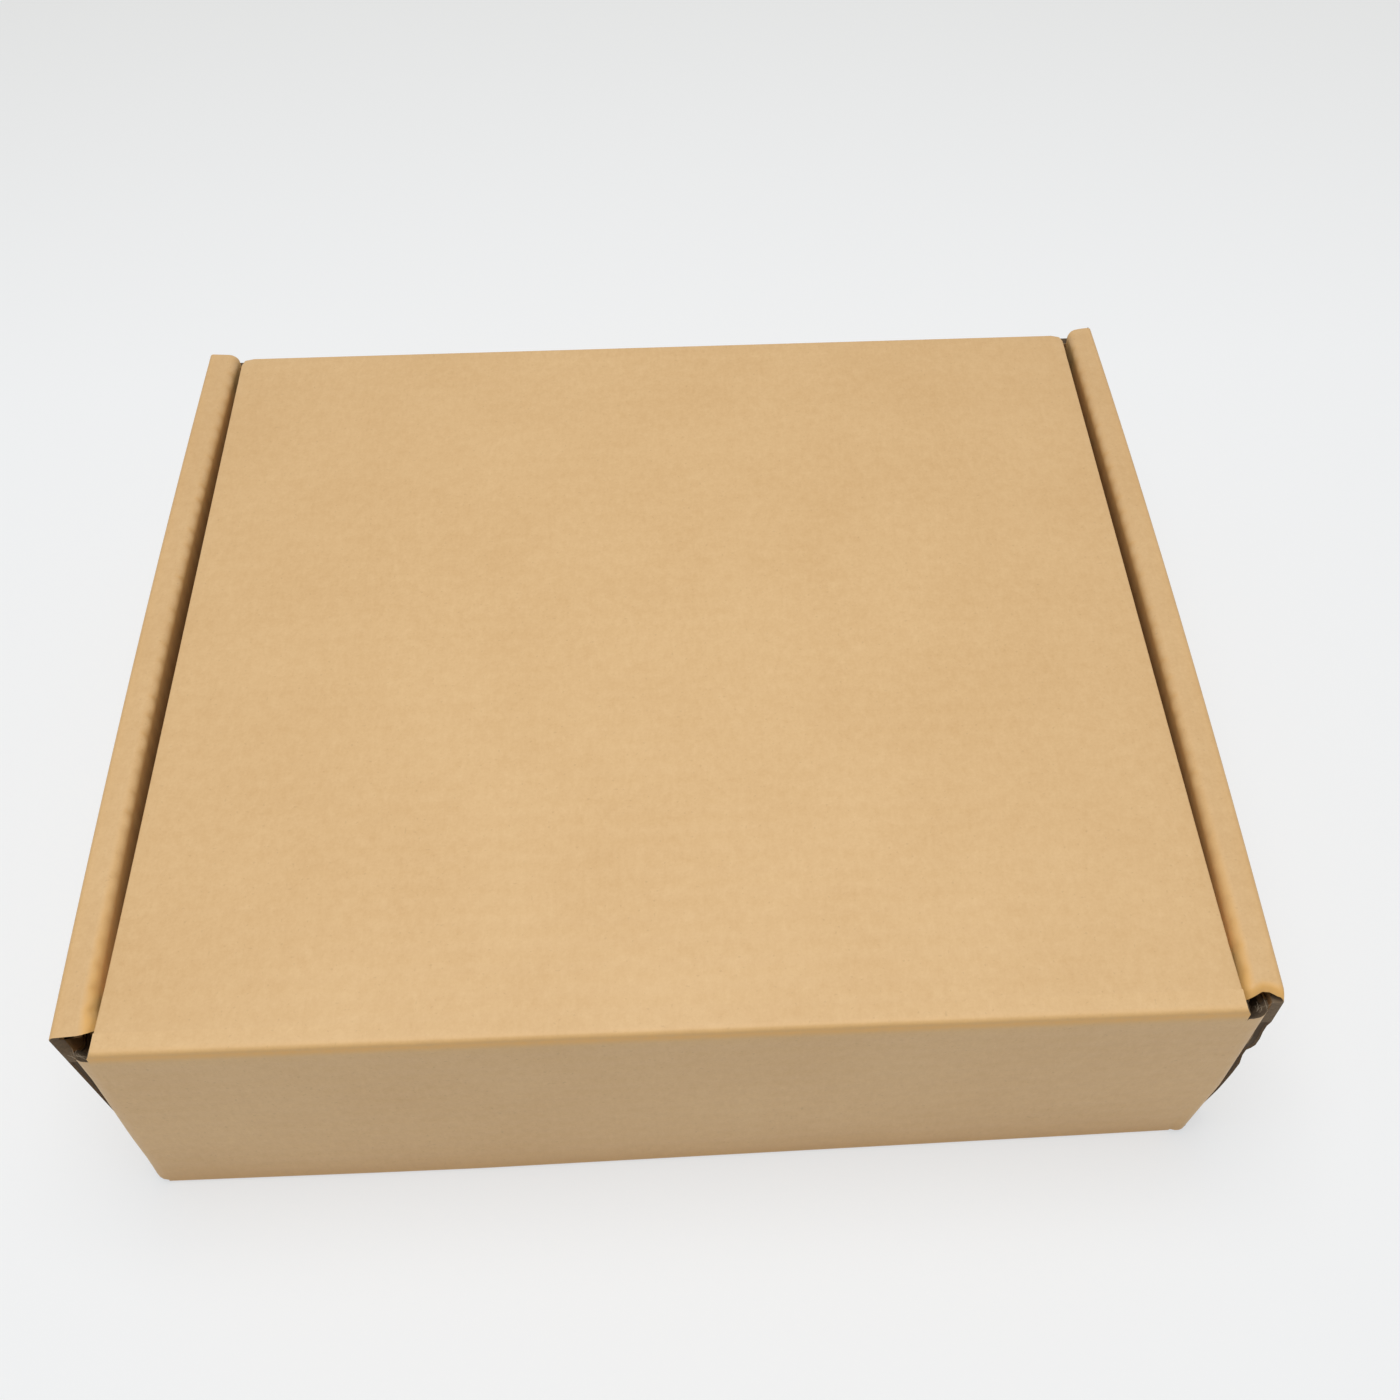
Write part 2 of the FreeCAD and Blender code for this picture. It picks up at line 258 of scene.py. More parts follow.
def bowed(share, near, middle, far):
    """A gentle curve through three widths, near, halfway and far."""
    return (near * (1 - share) * (1 - 2 * share) + 4 * middle * share * (1 - share)
            + far * share * (2 * share - 1))


def give_thickness(piece, thickness):
    solid = piece.modifiers.new("board", "SOLIDIFY")
    solid.thickness = thickness
    solid.offset = -1
    solid.use_even_offset = True
    solid.use_quality_normals = True
    solid.material_offset = 3
    solid.material_offset_rim = 1
    apply_modifier(piece, solid)


def open_raw_edges(piece, closed=lambda face: False, depth=0.5 * mm):
    """Sinks the middle of every cut edge between its two liners, except where it is crushed closed."""
    start_editing(piece)
    select_faces(piece, lambda face: face.material_index == 1 and not closed(face))
    bpy.ops.mesh.inset(thickness=liner, depth=-depth, use_boundary=True, use_even_offset=False)
    piece.active_material_index = 2
    bpy.ops.object.material_slot_assign()
    stop_editing()


def mark_depth(piece):
    """Marks how deep in the board a point lies: 0 on the outer liner, 1 on the inner one."""
    outer_points = len(piece.data.vertices) // 2
    mark(piece, "depth", "FLOAT", np.repeat([0, 1], outer_points))


def finish_board(piece):
    """Outer liner, cut liner, open flutes and inner liner, in the order that the thickness needs."""
    for material in (kraft, liner_edge, core_edge, kraft_inside):
        piece.data.materials.append(material)


def shade(piece, angle=40):
    deselect_all()
    piece.select_set(True)
    bpy.context.view_layer.objects.active = piece
    bpy.ops.object.shade_smooth_by_angle(angle=math.radians(angle))


# Materials

class Value:
    """A number on a shader socket, for sums written as sums."""

    def __init__(self, tree, socket):
        self.tree = tree
        self.socket = socket

    def __add__(self, other):
        return maths(self.tree, "ADD", self, other)

    def __radd__(self, other):
        return maths(self.tree, "ADD", other, self)

    def __sub__(self, other):
        return maths(self.tree, "SUBTRACT", self, other)

    def __rsub__(self, other):
        return maths(self.tree, "SUBTRACT", other, self)

    def __mul__(self, other):
        return maths(self.tree, "MULTIPLY", self, other)

    def __rmul__(self, other):
        return maths(self.tree, "MULTIPLY", other, self)


def add_node(tree, kind, settings=None, output=0, **inputs):
    """Adds a node, sets its settings first and then its sockets, by name or, as i2, by place."""
    node = tree.nodes.new(kind)
    for name, setting in (settings or {}).items():
        setattr(node, name, setting)
    for name, given in inputs.items():
        by_place = name[0] == "i" and name[1:].isdigit()
        socket = node.inputs[int(name[1:]) if by_place else name.replace("_", " ")]
        if isinstance(given, Value):
            tree.links.new(given.socket, socket)
        else:
            socket.default_value = given
    return Value(tree, node.outputs[output])


def maths(tree, operation, first, second=0.0):
    return add_node(tree, "ShaderNodeMath", {"operation": operation}, i0=first, i1=second)


def plain_colour(red, green, blue):
    """A screen colour, 0 to 255, as the shader wants it."""
    parts = []
    for part in (red, green, blue):
        share = part / 255
        parts.append(share / 12.92 if share <= 0.04045 else ((share + 0.055) / 1.055) ** 2.4)
    return (*parts, 1.0)


def new_material(name):
    material = bpy.data.materials.new(name)
    material.use_nodes = True
    tree = material.node_tree
    shader = tree.nodes["Principled BSDF"]
    return material, tree, shader


def mix_colour(tree, factor, first, second):
    return add_node(tree, "ShaderNodeMix", {"data_type": "RGBA"}, 2, i0=factor, i6=first, i7=second)


def kraft_paper(name, light, dark):
    """Uncoated brown liner: fine fibres, soft blotches, flecks, and the flutes showing through."""
    material, tree, shader = new_material(name)
    place = add_node(tree, "ShaderNodeTexCoord", output=3)
    sheet = add_node(tree, "ShaderNodeAttribute", {"attribute_name": "sheet"}, 1)
    crease_and_shade = add_node(tree, "ShaderNodeAttribute", {"attribute_name": "crease_and_shade"}, 2)
    painted_shade = add_node(tree, "ShaderNodeAttribute", {"attribute_name": "painted_shade"}, 2)

    def noise(at, scale, detail, rough, stretch=(1, 1, 1)):
        moved = add_node(tree, "ShaderNodeMapping", i0=at, i3=stretch)
        return add_node(tree, "ShaderNodeTexNoise",
                        Vector=moved, Scale=scale, Detail=detail, Roughness=rough)

    blotches = noise(place, 30, 2, 0.5)
    mottle = noise(place, 330, 3, 0.6)
    grain = noise(place, 1300, 3, 0.65)
    fibres = noise(sheet, 900, 2, 0.6, (1.0, 0.25, 1.0))
    flecks = noise(place, 1100, 0, 0.5)
    dark_flecks = add_node(tree, "ShaderNodeMapRange", i0=flecks, i1=0.76, i2=0.84, i3=0.0, i4=1.0)
    along = add_node(tree, "ShaderNodeSeparateXYZ", output=1, Vector=sheet)
    wave = maths(tree, "SINE", along * (2 * math.pi / flute_pitch))
    tone = 0.5 + (blotches - 0.5) * 0.5 + (mottle - 0.5) * 0.6 + (grain - 0.5) * 0.7
    tone = tone + (fibres - 0.5) * 0.35 + wave * 0.015
    colour = mix_colour(tree, tone, dark, light)
    colour = mix_colour(tree, dark_flecks * 0.15, colour, fleck_brown)
    # Ochre where the paper is creased, which also serves as painted shade down the gaps, in the scallop
    # valleys and at the feet
    crease_and_shade_amount = crease_and_shade * (0.95 + (mottle - 0.5) * 0.9)
    colour = mix_colour(tree, crease_and_shade_amount, colour, ochre)
    # Painted shade: brown that darkens the paper in the gaps, at the feet and towards the far end and
    # sides of the lid and rolls
    colour = mix_colour(tree, painted_shade, colour, shade_brown)
    tree.links.new(colour.socket, shader.inputs["Base Color"])
    rough = 0.52 + (grain - 0.5) * 0.2
    tree.links.new(rough.socket, shader.inputs["Roughness"])
    shader.inputs["Specular IOR Level"].default_value = 0.5
    height = grain * 0.5 + fibres * 0.5 + wave * 0.7
    bump = add_node(tree, "ShaderNodeBump", Strength=0.25, Distance=0.12 * mm, Height=height)
    tree.links.new(bump.socket, shader.inputs["Normal"])
    return material


def raw_board(name, light, dark):
    """Cut board: torn fibres between a light and a dark colour; on the cut liner the dark is partly
    painted shade.
    """
    material, tree, shader = new_material(name)
    place = add_node(tree, "ShaderNodeTexCoord", output=3)
    fibres = add_node(tree, "ShaderNodeTexNoise", Vector=place, Scale=900.0, Detail=4.0, Roughness=0.7)
    colour = mix_colour(tree, fibres, dark, light)
    tree.links.new(colour.socket, shader.inputs["Base Color"])
    rough = 0.9 + (fibres - 0.5) * 0.1
    tree.links.new(rough.socket, shader.inputs["Roughness"])
    bump = add_node(tree, "ShaderNodeBump", Strength=0.5, Distance=0.3 * mm, Height=fibres)
    tree.links.new(bump.socket, shader.inputs["Normal"])
    return material


def open_flutes(name, paper, hollow_shade):
    """The cut edge of the board between its liners: the wave of the fluting over its hollows, whose dark
    colour is painted shade.
    """
    material, tree, shader = new_material(name)
    sheet = add_node(tree, "ShaderNodeAttribute", {"attribute_name": "sheet"}, 1)
    depth = add_node(tree, "ShaderNodeAttribute", {"attribute_name": "depth"}, 2)
    place = add_node(tree, "ShaderNodeTexCoord", output=3)
    fibres = add_node(tree, "ShaderNodeTexNoise", Vector=place, Scale=1400.0, Detail=3.0, Roughness=0.7)
    along = add_node(tree, "ShaderNodeSeparateXYZ", output=1, Vector=sheet)
    flute = maths(tree, "SINE", along * (2 * math.pi / flute_pitch)) * flute_height + 0.5
    off_flute = maths(tree, "ABSOLUTE", depth - flute)
    bare = add_node(tree, "ShaderNodeMapRange", i0=off_flute, i1=0.09, i2=0.16, i3=0.0, i4=1.0)
    colour = mix_colour(tree, bare, paper, hollow_shade)
    colour = mix_colour(tree, fibres * 0.5, colour, hollow_shade)
    tree.links.new(colour.socket, shader.inputs["Base Color"])
    shader.inputs["Roughness"].default_value = 0.9
    return material


ochre = plain_colour(236, 184, 107)
# Brown of the painted shade in the gaps, at the feet and on the lid
shade_brown = plain_colour(140, 92, 42)
fleck_brown = plain_colour(140, 102, 62)
kraft = kraft_paper("kraft liner", plain_colour(232, 196, 144), plain_colour(212, 171, 116))
kraft_inside = kraft_paper("inner liner", plain_colour(184, 146, 100), plain_colour(152, 116, 76))
# The cut liner's dark colour is partly the cut fibres' own and partly painted shade on the raw edges
liner_edge = raw_board("cut liner", plain_colour(142, 121, 95), plain_colour(86, 72, 56))
# The dark second colour of the open flutes is painted shade in their hollows
core_edge = open_flutes("open flutes", plain_colour(176, 146, 108), plain_colour(84, 68, 50))
torn_paper = raw_board("torn paper", plain_colour(198, 180, 156), plain_colour(150, 132, 110))


# Tray: base, end walls with their tabs, and the rolled side walls, all one sheet

base_edge = foot_half - foot_radius
side_runs = [
    (base_edge, 0),
    (foot_radius * quarter, quarter),
    (top - foot_radius, 0),
    (0, quarter),
    (roll_width - roll_inner_radius, 0),
    (roll_inner_radius * quarter, quarter),
    (top - roll_inner_radius - inner_panel_foot, 0),
    (lock_reach, 0)]
base_end, foot_end, panel_end = run_ends(side_runs)[:3]
strip_end, lip_end, inner_end, lock_end = run_ends(side_runs)[4:]

near_runs = [
    (-tray_low.y - near_foot_radius, 0),
    (near_foot_radius * quarter, quarter),
    (hinge_wall_top - near_foot_radius, 0)]
far_runs = [
    (tray_high.y - foot_radius, 0),
    (foot_radius * quarter, quarter),
    (opening_wall_top - foot_radius, 0)]
near_base, near_foot, near_top = run_ends(near_runs)
far_base, far_foot, far_top = run_ends(far_runs)

tab_start = tab_face - tab_radius
tab_runs = [(tab_start, 0), (tab_radius * quarter, quarter), (tab_reach - tab_radius, 0)]
tab_turned, tab_end = run_ends(tab_runs)[1:]
tab_lift = 0.4 * mm
tab_lean = 1.1 * mm
middle_of_lip = 0.5 * (strip_end + lip_end)
base_still = 105.0 * mm
base_fade = 12.0 * mm
opening_wall_slant = 2.0 * mm
slant_half = 140.0 * mm
wall_tint_half = 134.0 * mm

# The near tabs: how far in each fold stands by height, and how high the tab's top is along it
tab_stands_in = {
    -1: [(0.0, 0.0), (12 * mm, 0.5 * mm), (28 * mm, 0.5 * mm), (45 * mm, 1.0 * mm), (60 * mm, 1.4 * mm),
         (74 * mm, 1.0 * mm)],
    1: [(0.0, 3.8 * mm), (6 * mm, 3.2 * mm), (17 * mm, 2.1 * mm), (32 * mm, 0.6 * mm), (74 * mm, 0.0)]}
tab_top = {
    -1: [(136.0 * mm, hinge_wall_top), (136.3 * mm, 74.6 * mm), (141.5 * mm, 74.3 * mm),
         (148 * mm, 66 * mm)],
    1: [(135.2 * mm, hinge_wall_top), (135.5 * mm, 73.5 * mm), (142.5 * mm, 73.8 * mm),
        (150 * mm, 70 * mm)]}
tab_corner = {-1: 136.1 * mm, 1: 135.3 * mm}
tab_crush = 5.0 * mm
fold_approach = 9.0 * mm
fold_leave = 10.0 * mm
raised_from = 50.0 * mm
crushed_from = 55.0 * mm

# Widths of the roll at its near end, halfway and at its far end, for the left and right walls
outer_top = {-1: (144.65 * mm, 146.1 * mm, 145.0 * mm), 1: (144.2 * mm, 145.7 * mm, 144.2 * mm)}
inner_top = {-1: (135.9 * mm, 137.85 * mm, 135.7 * mm), 1: (135.3 * mm, 137.1 * mm, 136.3 * mm)}
near_lip_pinch = {-1: 1.4 * mm, 1: 0.9 * mm}
near_lip_reach = 5.0 * mm
near_bulge = 1.2 * mm
bulge_depth = 40.0 * mm
bulge_reach = 28.0 * mm
scallop = {-1: 0.6 * mm, 1: 0.4 * mm}
scallop_width = 1.9 * mm
scallop_below = 0.6 * mm

# How far the near and far ends of each roll stand from the blank's straight ends
near_end_outer = {-1: -0.7 * mm, 1: -2.1 * mm}
near_end_inner = {-1: 0.0 * mm, 1: -1.2 * mm}
far_end_outer = {-1: 1.8 * mm, 1: 0.1 * mm}
far_end_inner = {-1: 0.8 * mm, 1: -2.2 * mm}
far_arch = {-1: 0.0, 1: 0.6 * mm}
corner_cut = {-1: 2.4 * mm, 1: 0.0}
near_end_reach = 22.0 * mm
far_end_reach = 40.0 * mm
end_arch = 2.0 * mm
arch_middle = 0.37
arch_width = 0.23
arch_reach = 9.0 * mm
end_crush = 1.7 * mm
crush_reach = 2.2 * mm
undercut = 2.2 * mm

# The near edge of each outer panel, as height and how far it stands back. The right one is torn
panel_edge = {
    -1: [(0.0, 1.8 * mm), (top, -0.7 * mm)],
    1: [(0.0, 4.6 * mm), (3 * mm, 4.2 * mm), (18 * mm, 1.9 * mm), (30 * mm, 0.6 * mm), (38.5 * mm, 0.0),
        (41 * mm, 0.9 * mm), (45.5 * mm, 0.4 * mm), (49 * mm, -1.3 * mm), (56 * mm, -1.6 * mm),
        (59.4 * mm, -0.8 * mm), (63 * mm, -1.9 * mm), (top, -2.1 * mm)]}


def fold_tint(below_top):
    """The ochre band that runs along the hinge wall below its crease."""
    return np.exp(-((below_top - 2.1 * mm) / (2.0 * mm)) ** 2)


def painted_gap_shade(depth):
    """Painted shade down in the gap between the lid and a roll, by depth."""
    return np.clip(depth / (4 * mm), 0, 1) * np.clip((16 * mm - depth) / (6 * mm), 0, 1)


def tray_lines():
    edges = [slot_inside, slot_outside, base_edge, foot_end, panel_end]
    edges += [inner_end, lock_end, tab_start, tab_end]
    edges += [place for way in (-1, 1) for place, height in tab_top[way]]
    side = [0.0, *spread(0, slot_inside, 5)]
    side += spread(base_end, foot_end, 4)
    side += spread(foot_end, panel_end, 22)
    side += spread(panel_end, strip_end, 4)
    side += spread(strip_end, lip_end, 6)
    side += spread(lip_end, inner_end, 6)
    side += spread(tab_start, tab_turned, 5)
    across = tidy_lines([-line for line in edges] + edges, [-line for line in side] + side)

    edges = [roll_near, roll_far, -near_base, far_base, -near_foot, far_foot, -near_top, far_top]
    edges += [-near_foot - tab_lift, far_foot + tab_lift, -near_top + 2 * mm]
    for way in (-1, 1):
        middle = lock_middle + way * lock_spacing / 2
        edges += [middle - lock_width / 2, middle + lock_width / 2]
    rows = round((roll_far - roll_near) / flute_pitch * 7)
    along = spread(roll_near, roll_far, rows)
    along += [-line for line in spread(near_base, near_foot, 5) + spread(near_foot, near_top, 12)]
    along += spread(far_base, far_foot, 5) + spread(far_foot, far_top, 8)
    return across, tidy_lines(edges, along)


def tray_panels():
    """The panels of the die-cut blank, each as left, right, near and far."""
    panels = [(-base_edge, base_edge, roll_near, roll_far)]
    panels.append((-tab_start, tab_start, -near_base, far_base))
    panels.append((-tab_start, tab_start, -near_top, -near_base))
    panels.append((-tab_start, tab_start, far_base, far_top))
    for side in (-1, 1):
        left, right = sorted((side * base_edge, side * inner_end))
        panels.append((left, right, roll_near, roll_far))
        left, right = sorted((side * tab_start, side * tab_end))
        panels.append((left, right, -near_top, -near_foot - tab_lift))
        panels.append((left, right, far_foot + tab_lift, far_top))
        for way in (-1, 1):
            middle = lock_middle + way * lock_spacing / 2
            left, right = sorted((side * inner_end, side * lock_end))
            panels.append((left, right, middle - lock_width / 2, middle + lock_width / 2))
    return panels


def cut_slots(piece):
    """Cuts the four slots in the base that hold the tongues of the rolled walls."""
    start_editing(piece)

    def in_slot(face):
        middle = face.calc_center_median()
        if not slot_inside < abs(middle.x) < slot_outside:
            return False
        return any(abs(middle.y - lock_middle - way * lock_spacing / 2) < lock_width / 2 + 0.5 * mm
                   for way in (-1, 1))

    select_faces(piece, in_slot)
    bpy.ops.mesh.delete(type="FACE")
    stop_editing()


def fold_tray(u, v):
    """Folds the flat sheet square. It keeps each point's side, -1 or 1, how far out it lies
    from the middle of the sheet, its panel, and its place."""
    sheet = SimpleNamespace(v=v, side=np.where(u < 0, -1.0, 1.0), out=np.abs(u))
    out = sheet.out
    x_side, z_side = laid(out, side_runs)
    y_near, z_near = laid(-v, near_runs)
    y_far, z_far = laid(v, far_runs)
    x_tab, back = laid(out, tab_runs)
    sheet.near = v < -near_base - hair
    sheet.far = (v > far_base + hair) & ((out < base_edge - hair) | (v > roll_far + hair))
    sheet.ends = sheet.near | sheet.far
    sheet.roll = ~sheet.ends & (out > base_edge - hair)
    sheet.x = np.where(sheet.ends, x_tab, x_side)
    sheet.y = np.where(sheet.near, -y_near + back, np.where(sheet.far, y_far - back, v))
    sheet.z = np.where(sheet.near, z_near, np.where(sheet.far, z_far, z_side))
    sheet.z_near = z_near
    sheet.z_far = z_far
    sheet.height = np.clip(sheet.z / top, 0, 1)
    sheet.share = np.clip((v - roll_near) / (roll_far - roll_near), 0, 1)
    sheet.inward = np.clip((out - panel_end) / (lip_end - panel_end), 0, 1)
    return sheet


def bow_rolls(sheet):
    """Bows and leans the rolled walls, and draws the edge of the base along with their feet."""
    shift = np.zeros_like(sheet.x)
    foot_out = np.zeros_like(sheet.x)
    for way in (-1, 1):
        here = sheet.side == way
        foot_out = np.where(here, bowed(sheet.share, *foot_widths[way]), foot_out)
        foot_in = foot_out - roll_width
        top_out = bowed(sheet.share, *outer_top[way])
        top_in = bowed(sheet.share, *inner_top[way])
        top_in = top_in - near_lip_pinch[way] * np.exp(-(sheet.v - roll_near) / near_lip_reach)
        outer_shift = foot_out + (top_out - foot_out) * sheet.height - foot_half
        inner_shift = foot_in + (top_in - foot_in) * sheet.height - (foot_half - roll_width)
        both = outer_shift * (1 - sheet.inward) + inner_shift * sheet.inward
        shift = np.where(here, both, shift)
    drawn = np.clip((sheet.out - base_still) / (slot_inside - base_still), 0, 1)
    base_x = sheet.x + (foot_out - foot_half) * drawn
    sheet.x = np.where(sheet.roll, sheet.x + shift, np.where(sheet.ends, sheet.x, base_x))


def press_flutes(sheet):
    """The flutes press through, unevenly, where the board is rolled inwards."""
    chance = np.random.default_rng(5)
    strength = chance.uniform(0.35, 1.25, flutes)
    number = np.clip(((sheet.v - roll_near) / flute_pitch).astype(int), 0, flutes - 1)
    on_lip = np.exp(-((sheet.out - middle_of_lip - scallop_below) / scallop_width) ** 2)
    sheet.ridge = np.abs(np.sin(math.pi * (sheet.v - roll_near) / flute_pitch)) - 0.6
    sheet.pressed = strength[number] * on_lip * sheet.roll
    depth = np.where(sheet.side < 0, scallop[-1], scallop[1])
    sheet.x = sheet.x - depth * sheet.pressed * sheet.ridge

    # Near its end the inner panel bulges towards the lid
    below_lip = sheet.out - lip_end
    bulge = np.clip((below_lip + 1 * mm) / (3 * mm), 0, 1) * np.clip(1 - below_lip / bulge_depth, 0, 1)
    by_end = np.exp(-(sheet.v - roll_near) / bulge_reach)
    sheet.x = sheet.x - near_bulge * bulge * sheet.roll * by_end


def shape_roll_ends(sheet):
    """Moves the near and far ends of the rolls to where the real ones are cut, torn and crushed."""
    out = sheet.out
    past_strip = np.clip((out - strip_end) / (lip_end - strip_end), 0, 1)
    from_near = sheet.v - roll_near
    fade_near = np.clip(1 - from_near / near_end_reach, 0, 1) ** 2
    fade_far = np.clip(1 - (roll_far - sheet.v) / far_end_reach, 0, 1) ** 2
    for way in (-1, 1):
        heights, backs = zip(*panel_edge[way])
        near_move = near_end_outer[way] + (near_end_inner[way] - near_end_outer[way]) * sheet.inward
        near_move = near_move + corner_cut[way] * past_strip ** 1.5
        near_move = np.where(out < panel_end, np.interp(sheet.z, heights, backs), near_move)
        far_move = far_end_outer[way] + (far_end_inner[way] - far_end_outer[way]) * sheet.inward
        far_move = far_move + far_arch[way] * np.sin(math.pi * sheet.inward)
        far_move = far_move * np.where(out < panel_end, sheet.height, 1.0)
        here = sheet.roll & (sheet.side == way)
        sheet.y = np.where(here, sheet.y + near_move * fade_near + far_move * fade_far, sheet.y)

    # The near end of the right roll arches back, and its cut edge is crushed down
    on_right = sheet.roll & (sheet.side > 0) & (out > panel_end - 0.1 * mm)
    arch = np.exp(-((sheet.inward - arch_middle) / arch_width) ** 2)
    sheet.y = sheet.y + on_right * end_arch * arch * np.clip(1 - from_near / arch_reach, 0, 1) ** 2
    sheet.z = sheet.z - on_right * end_crush * np.clip(1 - from_near / crush_reach, 0, 1) ** 2
    sheet.crushed = on_right * np.clip(1.8 - from_near / (1.6 * mm), 0, 1)


def set_end_walls(sheet):
    """The hinge wall stands a little in at its top, and its foot runs askew, as on the real box."""
    out = sheet.out
    wall_height = np.clip(sheet.z_near / hinge_wall_top, 0, 1)
    foot_in_by = np.maximum(foot_askew * sheet.side * sheet.x + foot_inset, 0.0)
    wall_in_by = crease_inset * wall_height + foot_in_by * (1 - wall_height)
    on_tab = np.clip((out - tab_start) / (tab_turned - tab_start), 0, 1)
    moved = sheet.y + wall_in_by * (1 - on_tab) + crease_inset * on_tab
    sheet.y = np.where(sheet.near, moved, sheet.y)
    by_fold = ~sheet.near & (sheet.v < -near_base + base_fade) & ~sheet.roll
    fade = np.clip(1 - (sheet.v + near_base) / base_fade, 0, 1)
    sheet.y = np.where(by_fold, sheet.y + foot_in_by * fade, sheet.y)

    # The folds of the near tabs stand in, and their tops slope down into the roll
    to_fold = np.clip((out - tab_start + fold_approach) / fold_approach, 0, 1)
    at_fold = to_fold * np.clip(1 - (out - tab_turned) / fold_leave, 0, 1)
    rise = np.clip((sheet.z_near - raised_from) / (hinge_wall_top - raised_from), 0, 1)
    for way in (-1, 1):
        tab = sheet.near & (sheet.side == way)
        heights, stands_in = zip(*tab_stands_in[way])
        stands_in = np.interp(sheet.z_near, heights, stands_in)
        sheet.x = np.where(tab, sheet.x - stands_in * at_fold, sheet.x)
        places, tops = zip(*tab_top[way])
        raised = np.interp(out, places, tops) - hinge_wall_top
        sheet.z = np.where(tab, sheet.z + raised * rise, sheet.z)

    # The tabs lean out against the outer panels, and the opening wall leans in at its right end
    into = np.clip((out - tab_start) / (tab_end - tab_start), 0, 1)
    leaning = tab_lean * np.clip(into * 4 - 0.4, 0, 1) * sheet.height
    sheet.x = np.where(sheet.ends & (out > tab_start), sheet.x + leaning, sheet.x)
    slant = np.interp(sheet.side * sheet.x, [-slant_half, slant_half], [0.0, opening_wall_slant])
    slant = slant * sheet.height
    sheet.y = np.where(sheet.far, sheet.y - slant, sheet.y)


def mark_tray_tints(piece, sheet):
    """Ochre where the paper is creased and stretched; painted shade down in the gap, in the scallop
    valleys, at the feet and along the rolls towards their far end. The ochre at the feet is partly the
    folds' own colour and partly painted shade.
    """
    out = sheet.out
    roll = sheet.roll
    past_lip = out - middle_of_lip
    past_strip = np.clip((out - strip_end) / (1.5 * mm), 0, 1)
    by_hinge = np.exp(-np.clip(sheet.v - roll_near, 0, 1) / (35 * mm))
    near_foot_crease_and_shade = np.exp(-np.clip(sheet.z_near - 2 * mm, 0, 1) / (5 * mm))
    far_foot_crease_and_shade = np.exp(-np.clip(sheet.z_far - 2 * mm, 0, 1) / (5 * mm))
    # Crease colour, with painted shade: the tint past the lip is painted shade down the gap, the tint in
    # the scallop valleys is painted shade, and the foot tints are partly the folds' ochre and partly
    # painted shade near the floor
    creases_and_shade = [
        np.exp(-np.abs(out - panel_end) / (1.2 * mm)) * roll * 0.3,
        np.clip(past_lip / (3 * mm), 0, 1) * np.exp(-past_lip / (12 * mm)) * roll,
        0.4 * np.clip(0.3 - sheet.ridge, 0, 1) * sheet.pressed * past_strip,
        past_strip * np.clip(2 - out / lip_end, 0, 1) * by_hinge * roll,
        near_foot_crease_and_shade * sheet.near * 0.4,
        far_foot_crease_and_shade * sheet.far * 0.4,
        fold_tint(top - sheet.z_near) * sheet.near * (out < wall_tint_half),
        sheet.crushed]
    mark(piece, "crease_and_shade", "FLOAT", np.max(creases_and_shade, axis=0))

    # Painted shade down in the gap, weaker towards the hinge end
    along_gap = np.clip((sheet.v - roll_near) / (40 * mm), 0.3, 1)
    gap_shade = roll * painted_gap_shade((out - lip_end) / 1.5) * along_gap
    # Painted shade on the rolls past their outer panels, darker towards the far end
    strip_shade = roll * (out > panel_end - hair) * (0.07 + 0.07 * sheet.share)
    # Painted shade at the feet, where the box meets the floor
    foot_shade = 0.26 * np.exp(-np.clip(sheet.z - 1 * mm, 0, 1) / (7 * mm)) * (sheet.ends | roll)
    mark(piece, "painted_shade", "FLOAT", np.max([gap_shade, strip_shade, foot_shade], axis=0))


def crush_inner_liner(piece, sheet):
    """The cut of the left roll's near end slopes back under, and the near tabs are crushed low."""
    outer_points = len(sheet.out)
    places = read_points(piece)
    inside = places[outer_points:2 * outer_points]
    left_end = sheet.roll & (sheet.side < 0) & (sheet.v < roll_near + 0.1 * mm) & (sheet.z > top - 8 * mm)
    inside[:, 1] += left_end * undercut
    at_corner = sheet.near & (sheet.out > np.where(sheet.side < 0, tab_corner[-1], tab_corner[1]))
    fall = np.clip((sheet.z_near - crushed_from) / (hinge_wall_top - crushed_from), 0, 1)
    inside[:, 2] -= at_corner * tab_crush * fall
    write_points(piece, places)


def round_roll_edges(piece):
    """Gives the tops of the rolls their crisp outer edges."""
    start_editing(piece)

    def roll_edge(edge):
        a, b = edge.verts[0].co, edge.verts[1].co
        if min(a.z, b.z) < top - 2 * mm or min(abs(a.x), abs(b.x)) < 143 * mm:
            return False
        if abs(a.y - b.y) < 0.5 * (a - b).length or len(edge.link_faces) != 2:
            return False
        return edge.calc_face_angle(0) > sharp_fold

    select_edges(piece, roll_edge)
    bpy.ops.mesh.bevel(offset=roll_edge_radius, segments=3, affect="EDGES", material=0)
    stop_editing()


def crushed_closed(face):
    """Cut edges at the hinge end of the rolls, which show no open flutes."""
    middle = face.calc_center_median()
    on_left_roll = middle.x < -133 * mm and middle.z > top - 9 * mm and middle.y < roll_near + 4 * mm
    faces_aside = abs(face.normal.y) < 0.5 or middle.z > hinge_wall_top - 8 * mm
    return on_left_roll or (middle.y < roll_near and faces_aside)


